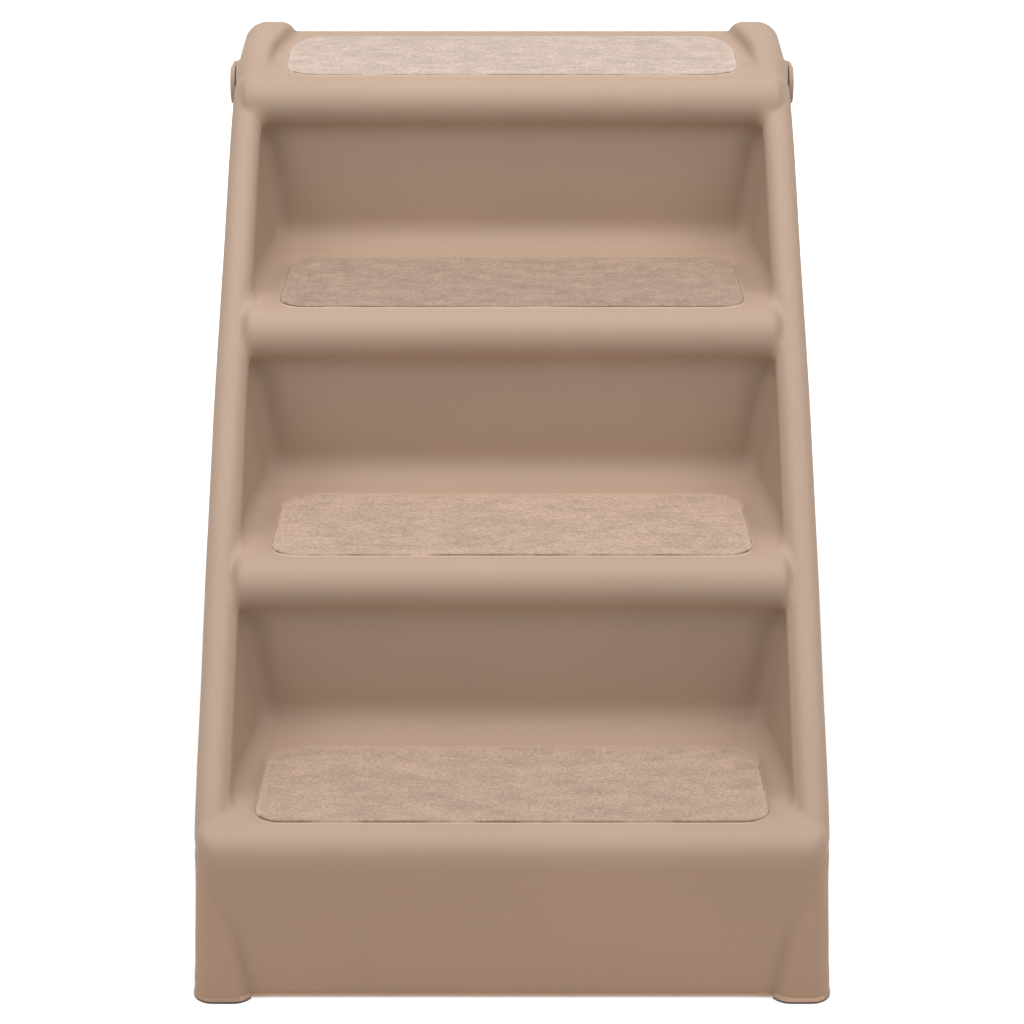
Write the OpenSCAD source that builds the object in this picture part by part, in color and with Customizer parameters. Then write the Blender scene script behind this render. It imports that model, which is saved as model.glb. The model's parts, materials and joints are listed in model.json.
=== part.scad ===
// Folding four-step pet stairs: a double-wall moulded body with carpet inserts, and a rear leg that folds
// under it. Millimetres. Every outline below is drawn from the front wall's foot (y = 0) and the floor
// (z = 0); placed() then moves it so that the origin lies on the floor under the middle of the whole.

/* [Steps] */
// Horizontal distance from one nose to the next
step_run = 132; // [115:1:150]
// Height from one tread to the next
step_rise = 119; // [105:1:130]
// Height of the lowest tread above the floor
first_tread_h = 118; // [110:1:135]
// Depth of the top tread, from its nose to its back edge
top_tread_d = 135; // [130:1:150]
// Radius of the noses of the upper three treads
nose_r = 17; // [13:0.5:20]
// Radius of the lowest tread's nose
first_nose_r = 20; // [16:0.5:26]
// How far a nose stands out over the riser below it
nose_overhang = 11; // [6:0.5:14]
// How far the lowest nose stands out over the foot of the front wall
front_lean = 5; // [2:0.5:8]
// Radius of the hollow where a riser meets its tread
riser_foot_r = 18; // [10:1:24]
// Radius of the hollow where a riser meets a side wall
pocket_corner_r = 32; // [20:1:40]

/* [Body] */
// Half width of the body at the floor
body_half_w = 199.3; // [180:0.5:220]
// How much each side leans in over its height, in degrees
side_draft = 0.74; // [0.3:0.02:1]
// Half width between the side walls, measured at the treads
inner_half_w = 173; // [160:0.5:180]
// Radius of the bead along the front of each side rail
rail_bead_r = 11; // [9:0.5:13]
// How far the bead stands proud of the side
rail_bead_proud = 0.3; // [0.2:0.1:1]
// Thickness of the moulded wall
wall = 3; // [2:0.25:4]
// Radius of the upright corners of the body
corner_r = 20; // [12:1:26]
// Depth of the flat on which the front of the body stands
foot_d = 70; // [60:1:85]
// Thickness of the lip at the back of the top tread
lip_t = 13; // [11:0.5:15]

/* [Horns] */
// Radius of the horn on each top corner
horn_r = 16; // [15:0.5:18]
// Height of the horns above the top tread
horn_rise = 9.5; // [8:0.5:12]
// How far each horn's top lies inward from the body's side
horn_inset = 20.5; // [18:0.5:24]
// How far back from the top nose a horn begins to rise
horn_start = 10; // [4:1:20]
// Distance from the top nose's centre to the horn's highest point
horn_peak_d = 93; // [80:1:94]
// Length of the level top of a horn
horn_level = 6; // [3:1:8]

/* [Corner posts and rim] */
// Radius of a corner post at the floor
post_r = 19.5; // [16:0.5:21]
// Radius of a corner post where it runs out
post_top_r = 12; // [10:0.5:13]
// How far a corner post stands out from the front wall at the floor
post_out = 7; // [4:0.5:9]
// Height of the trimmed rim round the foot
rim_h = 2; // [1.5:0.25:4]
// How far the rim stands out
rim_out = 1; // [0.5:0.1:2]

/* [Carpet inserts] */
// Width of the upper three inserts
pad_w = 308; // [280:1:320]
// Width of the lowest insert
first_pad_w = 318; // [290:1:330]
// Depth of every insert, front to back
pad_d = 94.5; // [80:0.5:98]
// Thickness of an insert, backing and pile together
pad_t = 2.6; // [2:0.1:4]
// Radius of an insert's front corners
pad_front_r = 14; // [8:1:20]
// Radius of an insert's back corners
pad_back_r = 26; // [16:1:36]
// Depth of the recess that holds an insert
recess_d = 2; // [1.5:0.25:2.5]
// Distance from a nose's centre to the front edge of the insert behind it
pad_setback = 3; // [1:0.5:8]
// Thickness of the adhesive sheet under an insert
tape_t = 0.3; // [0.2:0.1:0.5]
// How far the adhesive sheet stays inside the insert's edge
tape_inset = 5; // [3:1:10]

/* [Hinge] */
// Distance of the hinge behind the top nose's centre
hinge_back = 79; // [74:1:84]
// Depth of the hinge below the top nose's centre
hinge_drop = 12; // [9:0.5:16]
// Radius of the rounded back of the body about the hinge
hinge_barrel_r = 22; // [20:0.5:24]
// Radius of the hinge rod
rod_r = 5; // [4:0.25:6]
// Radius of the raised seat round the rod on each side
seat_r = 17; // [15:0.5:19]
// How far a seat stands out from the side
seat_proud = 1.36; // [0.6:0.02:4]
// Radius of a hinge washer
washer_r = 11; // [9:0.5:13]
// Thickness of a hinge washer
washer_t = 0.9; // [0.6:0.1:2]
// Radius of a hinge screw's head
screw_head_r = 7; // [6:0.25:8]
// Thickness of a hinge screw's head
screw_head_t = 1.9; // [1.5:0.1:2.2]
// Radius of a hinge screw's shank
screw_r = 3; // [2:0.25:3.5]
// Length of a hinge screw's shank
screw_l = 16; // [10:1:24]
// Share of a hinge screw's head thickness that its driver slot is wide
slot_share = 0.8; // [0.5:0.05:1]
// How far the boss round the rod reaches into the body from each side wall
rod_boss_l = 16; // [10:1:30]

/* [Rear leg] */
// Lean of the open leg from upright, in degrees
leg_lean = 9; // [6:0.5:12]
// Thickness of the leg
leg_t = 30; // [24:1:36]
// Gap between the leg and the body's rounded back
leg_gap = 2; // [1:0.25:4]
// How far the leg reaches above the hinge
leg_top = 8; // [4:0.5:10]
// Radius of the leg's top corners
leg_corner_r = 26; // [16:1:30]
// Radius of the ear round the hinge rod
ear_r = 15; // [12:0.5:17]
// Thickness of an ear
ear_t = 4.4; // [4:0.1:8]
// How far an ear's web reaches down the leg
ear_web_l = 62; // [40:1:80]
// Width of the leg's window
window_w = 230; // [160:2:270]
// Height of the leg's window
window_h = 120; // [80:2:150]
// Distance of the window below the hinge
window_drop = 82; // [70:1:100]
// Width of the arch between the leg's feet
arch_w = 250; // [160:2:290]
// Height of that arch above the floor
arch_h = 170; // [120:2:190]
// Radius of the corners of the window and the arch
opening_r = 32; // [16:1:50]
// Width of the stiffening channels pressed into the leg's back
channel_w = 16; // [10:1:24]
// Depth of those channels
channel_d = 6; // [3:0.5:9]

/* [Rubber feet] */
// Gap between the floor and the moulded pieces
foot_proud = 1; // [0.5:0.25:3]
// Radius of a front foot's pad
front_foot_r = 12; // [9:0.5:14]
// Radius of a rear foot's pad
rear_foot_r = 10; // [8:0.5:11]
// Thickness of a foot's pad
foot_t = 3; // [2:0.25:4]
// Radius of a foot's plug
plug_r = 4; // [3:0.25:5]
// Length of a foot's plug
plug_l = 8; // [6:0.5:12]

/* [Fits] */
// Running clearance round the rod in the ears
running = 0.05; // [0.02:0.01:0.1]
// Clearance of a piece that is held in a recess
loose = 0.3; // [0.1:0.05:0.6]

/* [Hidden] */

STEP_COUNT = 4;
ARC_STEPS = 10;
LAST = STEP_COUNT - 1;
RIGHT = 1;
LEFT = -1;
$fn = 64;

// How far a cutter reaches past what it cuts
overrun = 1;
// Margin that takes a cutter well clear of a rounded edge
bury = 11;

plastic_color = [0.72, 0.62, 0.54];
carpet_color = [0.78, 0.68, 0.60];
tape_color = [0.93, 0.92, 0.88];
rubber_color = [0.17, 0.16, 0.15];
steel_color = [0.72, 0.72, 0.73];
nylon_color = [0.90, 0.89, 0.85];

// Direction of the slope, in the side view
slope = atan2(step_rise, step_run);
up_slope = [cos(slope), sin(slope)];
into_body = [sin(slope), -cos(slope)];

function tread_z(k) = first_tread_h + k * step_rise;
function nose_radius(k) = k == 0 ? first_nose_r : nose_r;
first_nose_y = first_nose_r - front_lean;
function nose(k) = k == 0 ? [first_nose_y, tread_z(0) - first_nose_r]
                          : [first_nose_y - pad_setback + k * step_run, tread_z(k) - nose_r];
function pad_front_y(k) = first_nose_y + k * step_run;
function riser_y(k) = nose(k + 1).x - nose_r + nose_overhang;

top_nose = nose(LAST);
top_z = tread_z(LAST);
back_y = top_nose.x - nose_r + top_tread_d;

// Half width of the body's side at a height, less an inset
draft = tan(side_draft);
function side_x(z, inset = 0) = body_half_w - inset - draft * z;

// The axis of the rails' beads runs through the centres of the noses
function on_rail(z, inset = 0) = [top_nose.x - (top_nose.y - z) / tan(slope) + inset / sin(slope), z];

// The hinge, and the back of the body round it
hinge = [top_nose.x + hinge_back, top_nose.y - hinge_drop];
leg_away = [cos(leg_lean), sin(leg_lean)];
leg_offset = hinge_barrel_r + leg_gap;
function skin_foot(inset) = hinge + (hinge_barrel_r - inset) * into_body;
function back_wall(inset) = hinge + (hinge_barrel_r - inset) * leg_away;
function skin_z(y, inset) = skin_foot(inset).y + (y - skin_foot(inset).x) * tan(slope);
lip_under = top_z - lip_t;
function back_wall_y(z, inset) = back_wall(inset).x - (z - back_wall(inset).y) * tan(leg_lean);

// Half width over the seats and over the ears, and the place of their faces
seat_half_w = side_x(hinge.y) + seat_proud;
ear_in = seat_half_w + washer_t + 2 * running;
ear_out = ear_in + ear_t;
ear_sink = screw_head_t + 2 * loose - running;
rod_half_l = ear_out - ear_sink + 2 * running;

// The leg in its own outline: across it and along it, from the hinge
leg_foot_z = hinge.y - foot_proud;
leg_back = leg_offset + leg_t;
leg_reach = (leg_foot_z + leg_back * sin(leg_lean)) / cos(leg_lean);
leg_back_y = hinge.x + leg_back * cos(leg_lean) + leg_reach * sin(leg_lean);
rear_foot_y = leg_back_y - leg_t / cos(leg_lean) / 2;
rear_foot_x = (ear_out + arch_w / 2) / 2;
arch_top = -leg_reach + arch_h;

// The corner posts: the axis at the floor and where it runs out
post_x = body_half_w - post_r;
post_y = post_r - post_out;
post_end_z = nose(0).y;
post_end_x = side_x(post_end_z) - post_top_r - 2 * overrun - rail_bead_proud;
post_end_y = post_top_r - front_lean + 2 * overrun;
front_foot_y = corner_r - overrun / 2;
front_foot_x = body_half_w - corner_r - overrun;

// The whole object's length sets where its middle is
front_y = -post_out - rim_out;
middle_y = (front_y + leg_back_y) / 2;

// The solid's own frame, moved to the middle of the whole
module placed() {
    translate([0, -middle_y, 0])
        children();
}

// Extrudes a side view across the width, between two places
module across(x1, x2) {
    translate([x1, 0, 0])
        rotate([90, 0, 90])
            linear_extrude(height = x2 - x1)
                children();
}

// Extrudes a side view over the whole width, out to a half width
module both_ways(half) {
    across(-half, half)
        children();
}

// A cylinder across the width, about a point of the side view
module pin(at, r, x1, x2) {
    translate([x1, at.x, at.y])
        rotate([0, 90, 0])
            cylinder(r = r, h = x2 - x1);
}

// One child at both sides
module sides() {
    children();
    mirror([1, 0, 0])
        children();
}

// Points along an arc about a centre, from one angle to another
function arc(at, r, from, to) = [for (i = [0 : ARC_STEPS])
    at + r * [cos(from + (to - from) * i / ARC_STEPS), sin(from + (to - from) * i / ARC_STEPS)]];

// The back of the body, from the lip down to the floor, less an inset
function back_points(inset) = concat(
    inset > 0 ? [[back_wall_y(lip_under, inset), top_z - recess_d - inset]]
              : [[back_y, top_z], [back_y, lip_under]],
    [[back_wall_y(lip_under, inset), lip_under]],
    arc(hinge, hinge_barrel_r - inset, leg_lean, slope - 90),
    [[foot_d - inset, skin_z(foot_d - inset, inset)], [foot_d - inset, foot_proud + inset]]);

// A tread, the hollow at its back and the riser above it, up to the next nose
function riser_points(k, inset, top_inset) = concat(
    [[riser_y(k) - riser_foot_r, tread_z(k) - top_inset]],
    arc([riser_y(k) - riser_foot_r, tread_z(k) + riser_foot_r], riser_foot_r + inset, -90, 0));

// A nose, from the wall or riser below it round to its tread
function nose_points(k, inset, top_inset) =
    let (r = nose_radius(k) - top_inset, back = inset + nose_overhang - nose_r)
    arc(nose(k), r, k == 0 ? 180 : 360 - acos(back / r), 90);

// Side view of the stepped part: inset 0 is the outside, the wall's thickness is the hollow's
module step_outline(inset = 0) {
    top_inset = inset > 0 ? inset + recess_d : 0;
    steps = [for (k = [0 : LAST]) each concat(
        nose_points(k, inset, top_inset),
        k < LAST ? riser_points(k, inset, top_inset) : [])];
    polygon(concat([[inset, foot_proud + inset]], steps, back_points(inset)));
}

// Side view of a side wall, behind the axis of its bead
module side_outline(inset = 0) {
    front = on_rail(nose(0).y, inset);
    polygon(concat([[front.x, foot_proud + inset], front, on_rail(top_z - inset, inset)], back_points(inset)));
}

// Everything between two sides that lean in together, less an inset
module between_sides(inset = 0) {
    tall = top_z + horn_r;
    translate([0, back_y + overrun, 0])
        rotate([90, 0, 0])
            linear_extrude(height = back_y + post_out + 2 * overrun)
                polygon([[-side_x(0, inset), 0], [side_x(0, inset), 0],
                         [side_x(tall, inset), tall], [-side_x(tall, inset), tall]]);
}

// The body seen from above, with rounded upright corners
module plan_outline() {
    half = body_half_w;
    at = [for (sx = [LEFT, RIGHT], y = [corner_r - front_lean, back_y - corner_r]) [sx * (half - corner_r), y]];
    for (p = at)
        translate(p)
            circle(r = corner_r);
    translate([-half + corner_r, -front_lean])
        square([2 * (half - corner_r), back_y + front_lean]);
    translate([-half, corner_r - front_lean])
        square([2 * half, back_y + front_lean - 2 * corner_r]);
}

// Rounds off the inner upright corners of each pocket
module pocket_corners() {
    intersection() {
        for (k = [0 : LAST - 1])
            sides()
                translate([inner_half_w - pocket_corner_r, riser_y(k) - pocket_corner_r, tread_z(k) - overrun])
                    linear_extrude(height = step_rise - nose_r)
                        difference() {
                            square(pocket_corner_r + overrun);
                            circle(r = pocket_corner_r);
                        }
        both_ways(body_half_w)
            side_outline();
    }
}

// The bead along the front of the right-hand rail
module rail_bead() {
    low = on_rail(nose(0).y);
    high = top_nose + up_slope * horn_start;
    low_x = side_x(low.y) + rail_bead_proud - rail_bead_r;
    high_x = side_x(high.y) + rail_bead_proud - rail_bead_r;
    rod_between([low_x, low.x, low.y], [high_x, high.x, high.y], rail_bead_r, rail_bead_r);
    translate([high_x, high.x, high.y])
        sphere(r = rail_bead_r);
}

// A round bar from one point to another, with a radius at each end
module rod_between(a, b, ra, rb) {
    d = b - a;
    translate(a)
        rotate([0, acos(d.z / norm(d)), atan2(d.y, d.x)])
            cylinder(r1 = ra, r2 = rb, h = norm(d));
}

// The right-hand horn: it swells out of the rail and is level for a little at the back
module horn() {
    intersection() {
        horn_bars();
        translate([0, 0, lip_under + overrun])
            cube([body_half_w, back_y, horn_rise + horn_r]);
    }
}

module horn_bars() {
    start = top_nose + up_slope * horn_start;
    start_x = side_x(start.y) + rail_bead_proud - rail_bead_r;
    peak = [side_x(top_z) - horn_inset, top_nose.x + horn_peak_d, top_z + horn_rise - horn_r];
    tail = peak + [0, horn_level, 0];
    rod_between([start_x, start.x, start.y], peak, rail_bead_r - overrun, horn_r - overrun);
    for (p = [peak, tail])
        translate(p)
            sphere(r = horn_r);
    translate(peak)
        rotate([-90, 0, 0])
            cylinder(r = horn_r, h = horn_level);
}

// The right-hand corner post
module corner_post() {
    rod_between([post_x, post_y, foot_proud], [post_end_x, post_end_y, post_end_z], post_r, post_top_r);
}

// The trimmed rim round the foot of the body
module foot_rim() {
    half = body_half_w + rim_out;
    translate([0, 0, foot_proud])
        linear_extrude(height = rim_h) {
            translate([-half, corner_r])
                square([2 * half, foot_d + rim_out - corner_r]);
            translate([-post_x, -rim_out])
                square([2 * post_x, foot_d]);
            for (sx = [LEFT, RIGHT])
                translate([sx * post_x, post_y])
                    circle(r = post_r + rim_out);
        }
}

// The body's outside, before anything is cut from it
module body_outside() {
    intersection() {
        union() {
            both_ways(inner_half_w + overrun)
                step_outline();
            front_block();
            top_nose_ends();
            sides()
                across(inner_half_w, body_half_w)
                    side_outline();
        }
        between_sides();
        translate([0, 0, foot_proud])
            linear_extrude(height = top_z)
                plan_outline();
    }
    pocket_corners();
    sides() {
        rail_bead();
        horn();
        corner_post();
    }
    foot_rim();
    pin(hinge, seat_r, -seat_half_w, seat_half_w);
}

// The lowest step reaches over the full width
module front_block() {
    both_ways(body_half_w)
        intersection() {
            step_outline();
            translate([-front_lean, 0])
                square([foot_d + front_lean, first_tread_h]);
        }
}

// The top nose runs over the rails
module top_nose_ends() {
    half = side_x(top_z) - rail_bead_r + rail_bead_proud;
    pin(top_nose, nose_r, -half, half);
}

// The hollow inside the body, clear of the bosses that carry rod and feet
module body_hollow() {
    difference() {
        intersection() {
            union() {
                both_ways(inner_half_w - wall)
                    step_outline(wall);
                both_ways(body_half_w)
                    intersection() {
                        step_outline(wall);
                        side_outline(wall);
                    }
                sides()
                    across(inner_half_w + wall, body_half_w)
                        side_outline(wall);
            }
            between_sides(wall);
            both_ways(body_half_w - corner_r + bury)
                translate([0, foot_proud])
                    square([back_y - wall, top_z]);
        }
        sides() {
            pin(hinge, rod_r + wall, inner_half_w - rod_boss_l, body_half_w);
            translate([front_foot_x, front_foot_y, 0])
                cylinder(r = front_foot_r + wall, h = foot_t + plug_l + wall + foot_proud);
        }
    }
}

// An insert's outline, grown or shrunk, with its front edge's middle at the origin
module pad_outline(w, grow = 0) {
    fr = pad_front_r + grow;
    br = pad_back_r + grow;
    half = w / 2 + grow;
    for (sx = [LEFT, RIGHT]) {
        translate([sx * (half - fr), fr - grow])
            circle(r = fr);
        translate([sx * (half - br), pad_d + grow - br])
            circle(r = br);
    }
    translate([-half + fr, -grow])
        square([2 * (half - fr), pad_d - pad_back_r + grow]);
    translate([-half, fr - grow])
        square([2 * half, pad_d + 2 * grow - fr - br]);
    translate([-half + br, pad_d / 2])
        square([2 * (half - br), pad_d / 2 + grow]);
}

// Places a flat outline on a tread, at a height below its face
module on_tread(k, below) {
    translate([0, pad_front_y(k), tread_z(k) - below])
        children();
}

function insert_w(k) = k == 0 ? first_pad_w : pad_w;

// The recesses in the treads
module pad_recesses() {
    for (k = [0 : LAST])
        on_tread(k, recess_d)
            linear_extrude(height = recess_d + overrun)
                pad_outline(insert_w(k), loose);
}

// A rubber foot: a pad with a plug, or the hole for it when it grows
module foot_shape(r, grow = 0) {
    cylinder(r = r + grow, h = foot_t);
    cylinder(r = plug_r + grow, h = foot_t + plug_l + grow);
}

module stair_body() {
    color(plastic_color)
        placed()
            difference() {
                body_outside();
                body_hollow();
                pad_recesses();
                pin(hinge, rod_r + running, -seat_half_w - overrun, seat_half_w + overrun);
                sides()
                    translate([front_foot_x, front_foot_y, 0])
                        foot_shape(front_foot_r, loose);
            }
}

module tread_pad(k) {
    color(carpet_color)
        placed()
            on_tread(k, recess_d - tape_t)
                linear_extrude(height = pad_t)
                    pad_outline(insert_w(k));
}

module pad_tape(k) {
    color(tape_color)
        placed()
            on_tread(k, recess_d)
                linear_extrude(height = tape_t)
                    pad_outline(insert_w(k), -tape_inset);
}

// A slot with rounded ends or corners, centred across, from one height to another
module rounded_slot(w, z1, z2, r) {
    for (sx = [LEFT, RIGHT], z = [z1 + r, z2 - r])
        translate([sx * (w / 2 - r), z])
            circle(r = r);
    translate([-w / 2 + r, z1])
        square([w - 2 * r, z2 - z1]);
    translate([-w / 2, z1 + r])
        square([w, z2 - z1 - 2 * r]);
}

// A round-ended groove, from one height to another
module groove(w, z1, z2) {
    for (z = [z1, z2])
        translate([0, z])
            circle(r = w / 2);
    translate([-w / 2, z1])
        square([w, z2 - z1]);
}

// The leg seen from behind, less an inset all round
module leg_outline(inset = 0) {
    difference() {
        rounded_slot(2 * (ear_out - inset), -leg_reach - leg_corner_r - leg_t, leg_top - inset, leg_corner_r - inset);
        rounded_slot(window_w + 2 * inset, -window_drop - window_h - inset, -window_drop + inset, opening_r + inset);
        rounded_slot(arch_w + 2 * inset, -leg_reach - 2 * opening_r, arch_top + inset, opening_r + inset);
    }
}

// A slab of the leg, in the leg's own directions from the hinge
module leg_slab(near, far) {
    translate([0, far, 0])
        rotate([90, 0, 0])
            linear_extrude(height = far - near)
                children();
}

// Side view of an ear: round about the rod, with a web down the leg
module ear_outline() {
    polygon(concat(arc([0, 0], ear_r, 90, 270 - leg_lean),
                   [[leg_offset + wall, -ear_web_l], [leg_offset + wall, leg_top - leg_corner_r / 2]]));
}

// The channels that stiffen the leg's back
module leg_channels() {
    mid = (ear_out + arch_w / 2) / 2;
    leg_slab(leg_back - channel_d, leg_back + overrun)
        for (sx = [LEFT, RIGHT])
            translate([sx * mid, 0])
                groove(channel_w, -leg_reach + arch_h / 2, -window_drop + channel_w);
}

// Turns a shape from the leg's own directions into the open leg's place
module on_leg() {
    translate([0, hinge.x, hinge.y])
        rotate([leg_lean, 0, 0])
            children();
}

module leg_solid() {
    difference() {
        union() {
            leg_slab(leg_offset, leg_back)
                leg_outline();
            sides()
                across(ear_in, ear_out)
                    ear_outline();
        }
        leg_slab(leg_offset + wall, leg_back - channel_d - wall)
            difference() {
                leg_outline(wall);
                translate([-ear_out, -leg_reach - leg_corner_r - leg_t])
                    square([2 * ear_out, leg_corner_r + leg_t + foot_t + plug_l + 2 * wall + channel_w]);
            }
        leg_channels();
        sides() {
            pin([0, 0], rod_r + running, ear_in - overrun, ear_out + overrun);
            pin([0, 0], screw_head_r + loose, ear_out - ear_sink, ear_out + overrun);
        }
    }
}

module rear_leg() {
    color(plastic_color)
        placed()
            difference() {
                on_leg()
                    leg_solid();
                translate([-ear_out - bury, 0, foot_proud - leg_t - leg_corner_r - opening_r])
                    cube([2 * (ear_out + bury), leg_back_y + leg_t, leg_t + leg_corner_r + opening_r]);
                sides()
                    translate([rear_foot_x, rear_foot_y, 0])
                        foot_shape(rear_foot_r, loose);
            }
}

module hinge_rod() {
    color(steel_color)
        placed()
            difference() {
                pin(hinge, rod_r, -rod_half_l, rod_half_l);
                sides()
                    pin(hinge, screw_r + running, rod_half_l - screw_l - overrun, rod_half_l + overrun);
            }
}

module hinge_washer(side) {
    color(nylon_color)
        placed()
            mirror([side == LEFT ? 1 : 0, 0, 0])
                difference() {
                    pin(hinge, washer_r, seat_half_w + running, seat_half_w + running + washer_t);
                    pin(hinge, rod_r + running, seat_half_w - overrun, ear_in + overrun);
                }
}

module hinge_screw(side) {
    slot_w = screw_head_t * slot_share;
    color(steel_color)
        placed()
            mirror([side == LEFT ? 1 : 0, 0, 0])
                difference() {
                    union() {
                        pin(hinge, screw_head_r, rod_half_l, rod_half_l + screw_head_t);
                        pin(hinge, screw_r, rod_half_l - screw_l, rod_half_l + running);
                    }
                    for (turn = [0, 90])
                        translate([rod_half_l + screw_head_t / 2, hinge.x, hinge.y])
                            rotate([turn, 0, 0])
                                translate([0, -screw_head_r / 2, -slot_w / 2])
                                    cube([screw_head_t, screw_head_r, slot_w]);
                }
}

module front_foot(side) {
    color(rubber_color)
        placed()
            translate([side * front_foot_x, front_foot_y, 0])
                foot_shape(front_foot_r);
}

module rear_foot(side) {
    color(rubber_color)
        placed()
            translate([side * rear_foot_x, rear_foot_y, 0])
                foot_shape(rear_foot_r);
}

stair_body();
tread_pad(0);  // tread_pad_1
tread_pad(1);  // tread_pad_2
tread_pad(2);  // tread_pad_3
tread_pad(3);  // tread_pad_4
pad_tape(0);  // pad_tape_1
pad_tape(1);  // pad_tape_2
pad_tape(2);  // pad_tape_3
pad_tape(3);  // pad_tape_4
rear_leg();
hinge_rod();
hinge_washer(LEFT);  // hinge_washer_left
hinge_washer(RIGHT);  // hinge_washer_right
hinge_screw(LEFT);  // hinge_screw_left
hinge_screw(RIGHT);  // hinge_screw_right
front_foot(LEFT);  // front_foot_left
front_foot(RIGHT);  // front_foot_right
rear_foot(LEFT);  // rear_foot_left
rear_foot(RIGHT);  // rear_foot_right
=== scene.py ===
import json
import math

import bmesh
import bpy
import numpy as np
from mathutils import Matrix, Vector, noise
from mathutils.geometry import delaunay_2d_cdt


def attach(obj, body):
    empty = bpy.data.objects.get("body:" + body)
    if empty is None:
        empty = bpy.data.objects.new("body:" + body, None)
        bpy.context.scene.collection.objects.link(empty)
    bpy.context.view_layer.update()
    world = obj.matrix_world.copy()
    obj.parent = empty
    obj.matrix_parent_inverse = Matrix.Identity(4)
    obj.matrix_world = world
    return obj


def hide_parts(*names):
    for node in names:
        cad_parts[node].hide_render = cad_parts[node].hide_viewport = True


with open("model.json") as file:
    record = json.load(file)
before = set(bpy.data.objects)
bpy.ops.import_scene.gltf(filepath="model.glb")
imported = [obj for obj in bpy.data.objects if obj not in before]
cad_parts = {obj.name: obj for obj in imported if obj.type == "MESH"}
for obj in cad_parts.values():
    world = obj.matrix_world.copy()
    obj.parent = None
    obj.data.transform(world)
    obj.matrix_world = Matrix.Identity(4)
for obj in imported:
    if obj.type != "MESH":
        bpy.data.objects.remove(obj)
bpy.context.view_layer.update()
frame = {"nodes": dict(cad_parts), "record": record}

# Millimetres here: x across, y from the front wall's foot, z from the floor. The frame's origin lies
# MIDDLE_Y behind that foot, and to_frame() turns these places into metres of the frame.
MM = 0.001
MIDDLE_Y = 302.077

# Steps
STEP_COUNT = 4
STEP_RUN = 132.0
STEP_RISE = 119.0
FIRST_TREAD = 118.0
NOSE_R = 17.0
FIRST_NOSE_R = 20.0
NOSE_OVERHANG = 11.0
FRONT_LEAN = 5.0
RISER_FOOT_R = 18.0
SETBACK = 3.0
BACK_Y = 526.0
LIP_T = 13.0
FOOT_D = 70.0
FLOOR_GAP = 1.0
SLOPE = math.atan2(STEP_RISE, STEP_RUN)

# Sides
HALF_W = 199.3
DRAFT = math.tan(math.radians(0.74))
CORNER_R = 20.0
RAIL_R = 10.3
RAIL_PROUD = 0.3
# Heights, and how far the sides bow in there beyond their draft
SIDE_AT = (0.0, 13.0, 24.0, 50.0, 77.0, 105.0, 118.0, 137.0, 172.0, 200.0,
           225.0, 300.0, 330.0, 352.0, 378.0, 416.0, 432.0, 448.0, 470.0, 490.0)
SIDE_IN = (0.0, 0.0, 0.7, 1.4, 1.8, 1.8, 1.3, 1.0, 0.9, 0.5,
           0.2, 0.0, 0.3, 0.7, 1.2, 1.5, 1.7, 2.1, 3.2, 3.4)
WALL_FRONT_X = 177.5
WALL_TAPER = 0.145
NOSE_END_X = 176.6
TOP_NOSE_END_X = 184.5

# Roundings where forms meet. A pair of radii is a first radius and by how much it eases, and a pair of
# places is from where to where something eases. SKIN_FADE is such a pair, in depths short of SKIN_DEEP.
CORE_END_Z = (425.0, 440.0)
CORE_EDGE_R = (6.0, 5.5)
CORE_EDGE_DEEP = (-6.0, 6.0)
WALL_JOIN_R = (0.3, 9.2)
UNDER_NOSE_LESS = 6.5
UNDER_NOSE_FROM = (66.0, 86.0)
UNDER_NOSE_TO = (100.0, 118.0)
UNDER_NOSE_BEHIND = (40.0, 62.0)
SKIN_DEEP = 83.8
SKIN_FADE = (11.5, 4.0)
BLOCK_EDGE_R = 0.5
BLOCK_JOIN_R = 3.0
FIRST_END_R = 11.0
FIRST_END_Z = (92.0, 110.0)
PLAN_EDGE_R = 4.0
FLOOR_EDGE_R = 1.0
TRIM_UP = 0.2
SHARP_R = 0.3

# Horns on the top corners
HORN_RISE = 8.2
HORN_Y = (404.0, 468.0)
HORN_BACK = 524.0
HORN_BACK_R = 9.0
HORN_FRONT_R = 12.0
HORN_FLANK_X = 168.2
HORN_FLANK_Y = 425.0
HORN_WIDEN = 0.0016
HORN_INNER_R = 5.0
HORN_END_R = 11.0
HORN_END_Y = (495.0, 522.0)
HORN_HOLLOW = 4.0
HORN_HOLLOW_SHARE = 1.3
HORN_HOLLOW_X = (3.0, 10.0)
HORN_HOLLOW_Y = (514.0, 524.0)
SHOULDER_R = 16.0
SHOULDER_Y = (400.0, 420.0)
SHOULDER_OFF = 20.0
SHOULDER_OUT = 1.2
SHOULDER_OUT_Y = (425.0, 455.0)

# Rounded beads along the rails
BEAD_END = 8.0
BEAD_FOOT_Z = 106.0
BEAD_JOIN_R = (6.0, 5.3)
BEAD_JOIN_X = (-9.0, 1.0)

# Corner posts in front, and the trimmed rim round the foot
POST_R = 12.0
POST_R_Z = (35.0, 85.0)
POST_OUT = 6.9
POST_BEND = 0.00036
POST_IN_X = 162.8
POST_LEAN = 0.1
POST_SPREAD = 0.0012
POST_DEEP = 50.0
POST_TOP = 96.0
POST_OFF_SIDE = 0.2
POST_JOIN_R = (2.0, 1.9)
POST_JOIN_X = (6.0, 16.0)
CREASE_W = 4.0
RIM_OUT = 0.9

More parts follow.
